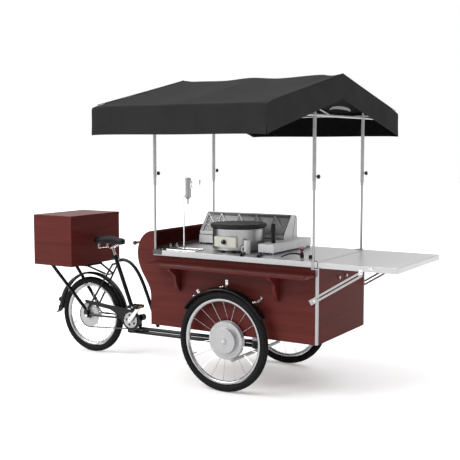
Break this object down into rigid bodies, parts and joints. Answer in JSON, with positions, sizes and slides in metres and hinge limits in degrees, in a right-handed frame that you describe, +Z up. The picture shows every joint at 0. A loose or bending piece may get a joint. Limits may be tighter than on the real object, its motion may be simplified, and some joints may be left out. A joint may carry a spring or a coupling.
{
  "type": "pedal vending tricycle",
  "caption": "Front-load pedal tricycle for street vending: wooden cabinet with griddle and display, fold-out table, telescopic gabled canopy, saddle and rear box.",
  "frame": {"origin": "on the ground under the middle of the whole vehicle's length and width", "axes": "+X forwards to the fold-out table, +Y to the rider's left, +Z up"},
  "size_m": [3.09, 2.076, 2.125],
  "materials": {
    "black_frame": "gloss black enamel",
    "steel": "brushed",
    "chrome": "polished",
    "alloy": "satin",
    "grey_frame": "light grey coat",
    "tyre": "matt",
    "mahogany": "stained and varnished",
    "steel_clad_board": "board clad in brushed stainless sheet",
    "white_plastic": "gloss",
    "saddle_cover": "black grain",
    "canopy_cloth": "woven",
    "black_plastic": "satin",
    "black_fitting": "satin black",
    "red_plastic": "gloss dark red",
    "iron": "seasoned",
    "bottle": "composite shell, light grey"
  },
  "bodies": {
    "rear_frame": {"seat_tube": "black_frame", "curved_tube": "black_frame", "main_beam": "black_frame", "chain_stays": "black_frame", "seat_stays": "black_frame", "rear_axle": "steel", "rear_fender": "black_frame", "rear_reflector": "red_plastic", "chain_guard": "black_frame", "chain": "steel", "box_carrier": "black_frame", "rear_box": "mahogany", "seat_clamp": "black_frame"},
    "seat": {"saddle": "saddle_cover", "seat_post": "chrome"},
    "rear_wheel": {"tyre_rear": "tyre", "wheel_rear": "alloy", "rear_sprocket": "alloy"},
    "crank": {"crank_set": "chrome"},
    "pedal_right_body": {"pedal_right": "black_plastic"},
    "pedal_left_body": {"pedal_left": "black_plastic"},
    "rear_lid": {"rear_box_lid": "mahogany"},
    "front_chassis": {"chassis_frame": "grey_frame", "front_axle": "grey_frame", "back_panel": "mahogany", "front_panel": "mahogany", "floor_panel": "mahogany", "worktop": "steel_clad_board", "side_shelf": "mahogany", "steering_bar": "steel", "crepe_maker": "steel", "griddle_plate": "iron", "display_case": "white_plastic", "tap": "black_fitting", "dispenser": "chrome", "gas_bottle": "bottle", "side_panel_right": "mahogany", "side_panel_left": "mahogany", "front_fender_right": "black_frame", "front_fender_left": "black_frame", "post_front_right": "alloy", "post_front_left": "alloy", "post_rear_right": "alloy", "post_rear_left": "alloy"},
    "front_wheel_right": {"tyre_front_right": "tyre", "wheel_front_right": "alloy"},
    "front_wheel_left": {"tyre_front_left": "tyre", "wheel_front_left": "alloy"},
    "crepe_knob_body": {"crepe_knob": "black_plastic"},
    "tap_handle_body": {"tap_handle": "red_plastic"},
    "dispenser_lever_body": {"dispenser_lever": "chrome"},
    "canopy": {"canopy_fabric": "canopy_cloth", "canopy_frame": "alloy"},
    "clamp_knob_front_right_body": {"clamp_knob_front_right": "black_plastic"},
    "clamp_knob_front_left_body": {"clamp_knob_front_left": "black_plastic"},
    "clamp_knob_rear_right_body": {"clamp_knob_rear_right": "black_plastic"},
    "clamp_knob_rear_left_body": {"clamp_knob_rear_left": "black_plastic"},
    "table": {"table_top": "steel_clad_board"},
    "strut_right": {"table_strut_right": "alloy"},
    "strut_left": {"table_strut_left": "alloy"}
  },
  "joints": [
    {"name": "steer", "type": "hinge", "parent": "rear_frame", "child": "front_chassis", "pos_m": [0.345, 0, 0.24], "axis": [0, 0, 1], "range_deg": [-35, 35]},
    {"name": "seat_height", "type": "slide", "parent": "rear_frame", "child": "seat", "axis": [-0.3762, 0, 0.9265], "range_m": [-0.04, 0.06]},
    {"name": "rear_wheel_spin", "type": "hinge", "parent": "rear_frame", "child": "rear_wheel", "pos_m": [-1.168, 0, 0.303], "axis": [0, 1, 0], "continuous": true},
    {"name": "crank_spin", "type": "hinge", "parent": "rear_frame", "child": "crank", "pos_m": [-0.74, 0, 0.307], "axis": [0, 1, 0], "continuous": true},
    {"name": "pedal_right_spin", "type": "hinge", "parent": "crank", "child": "pedal_right_body", "pos_m": [-0.63073, -0.14, 0.43723], "axis": [0, 1, 0], "continuous": true},
    {"name": "pedal_left_spin", "type": "hinge", "parent": "crank", "child": "pedal_left_body", "pos_m": [-0.84927, 0.14, 0.17677], "axis": [0, 1, 0], "continuous": true},
    {"name": "rear_lid_hinge", "type": "hinge", "parent": "rear_frame", "child": "rear_lid", "pos_m": [-1.5185, 0, 1.089], "axis": [0, -1, 0], "range_deg": [0, 100]},
    {"name": "front_wheel_right_spin", "type": "hinge", "parent": "front_chassis", "child": "front_wheel_right", "pos_m": [0.345, -0.457, 0.3445], "axis": [0, 1, 0], "continuous": true},
    {"name": "front_wheel_left_spin", "type": "hinge", "parent": "front_chassis", "child": "front_wheel_left", "pos_m": [0.345, 0.457, 0.3445], "axis": [0, 1, 0], "continuous": true},
    {"name": "crepe_knob_turn", "type": "hinge", "parent": "front_chassis", "child": "crepe_knob_body", "pos_m": [0.255, -0.303, 0.996], "axis": [0, -1, 0], "range_deg": [0, 270]},
    {"name": "tap_handle_turn", "type": "hinge", "parent": "front_chassis", "child": "tap_handle_body", "pos_m": [0.845, -0.285, 0.97], "axis": [0, 0, 1], "range_deg": [0, 180]},
    {"name": "dispenser_lever_swing", "type": "hinge", "parent": "front_chassis", "child": "dispenser_lever_body", "pos_m": [-0.051, -0.25, 1.359], "axis": [0, 1, 0], "range_deg": [0, 18], "stiffness_Nm_per_rad": 1.5, "springref_deg": -8.59},
    {"name": "canopy_height", "type": "slide", "parent": "front_chassis", "child": "canopy", "axis": [0, 0, 1], "range_m": [-0.35, 0]},
    {"name": "clamp_knob_front_right_turn", "type": "hinge", "parent": "canopy", "child": "clamp_knob_front_right_body", "pos_m": [0.9898, -0.387, 1.462], "axis": [1, 0, 0], "range_deg": [0, 270]},
    {"name": "clamp_knob_front_left_turn", "type": "hinge", "parent": "canopy", "child": "clamp_knob_front_left_body", "pos_m": [0.9898, 0.387, 1.462], "axis": [1, 0, 0], "range_deg": [0, 270]},
    {"name": "clamp_knob_rear_right_turn", "type": "hinge", "parent": "canopy", "child": "clamp_knob_rear_right_body", "pos_m": [-0.2492, -0.387, 1.462], "axis": [1, 0, 0], "range_deg": [0, 270]},
    {"name": "clamp_knob_rear_left_turn", "type": "hinge", "parent": "canopy", "child": "clamp_knob_rear_left_body", "pos_m": [-0.2492, 0.387, 1.462], "axis": [1, 0, 0], "range_deg": [0, 270]},
    {"name": "table_fold", "type": "hinge", "parent": "front_chassis", "child": "table", "pos_m": [1.013, 0, 0.876], "axis": [0, 1, 0], "range_deg": [0, 90]},
    {"name": "strut_right_swing", "type": "hinge", "parent": "front_chassis", "child": "strut_right", "pos_m": [0.99, -0.39, 0.672], "axis": [0, 1, 0], "range_deg": [0, 121.7]},
    {"name": "strut_left_swing", "type": "hinge", "parent": "front_chassis", "child": "strut_left", "pos_m": [0.99, 0.39, 0.672], "axis": [0, 1, 0], "range_deg": [0, 121.7]}
  ],
  "couplings": [
    {"joint": "crank_spin", "follows": "rear_wheel_spin", "ratio": 1.3333},
    {"joint": "strut_right_swing", "follows": "table_fold", "ratio": 1.351},
    {"joint": "strut_left_swing", "follows": "table_fold", "ratio": 1.351}
  ]
}
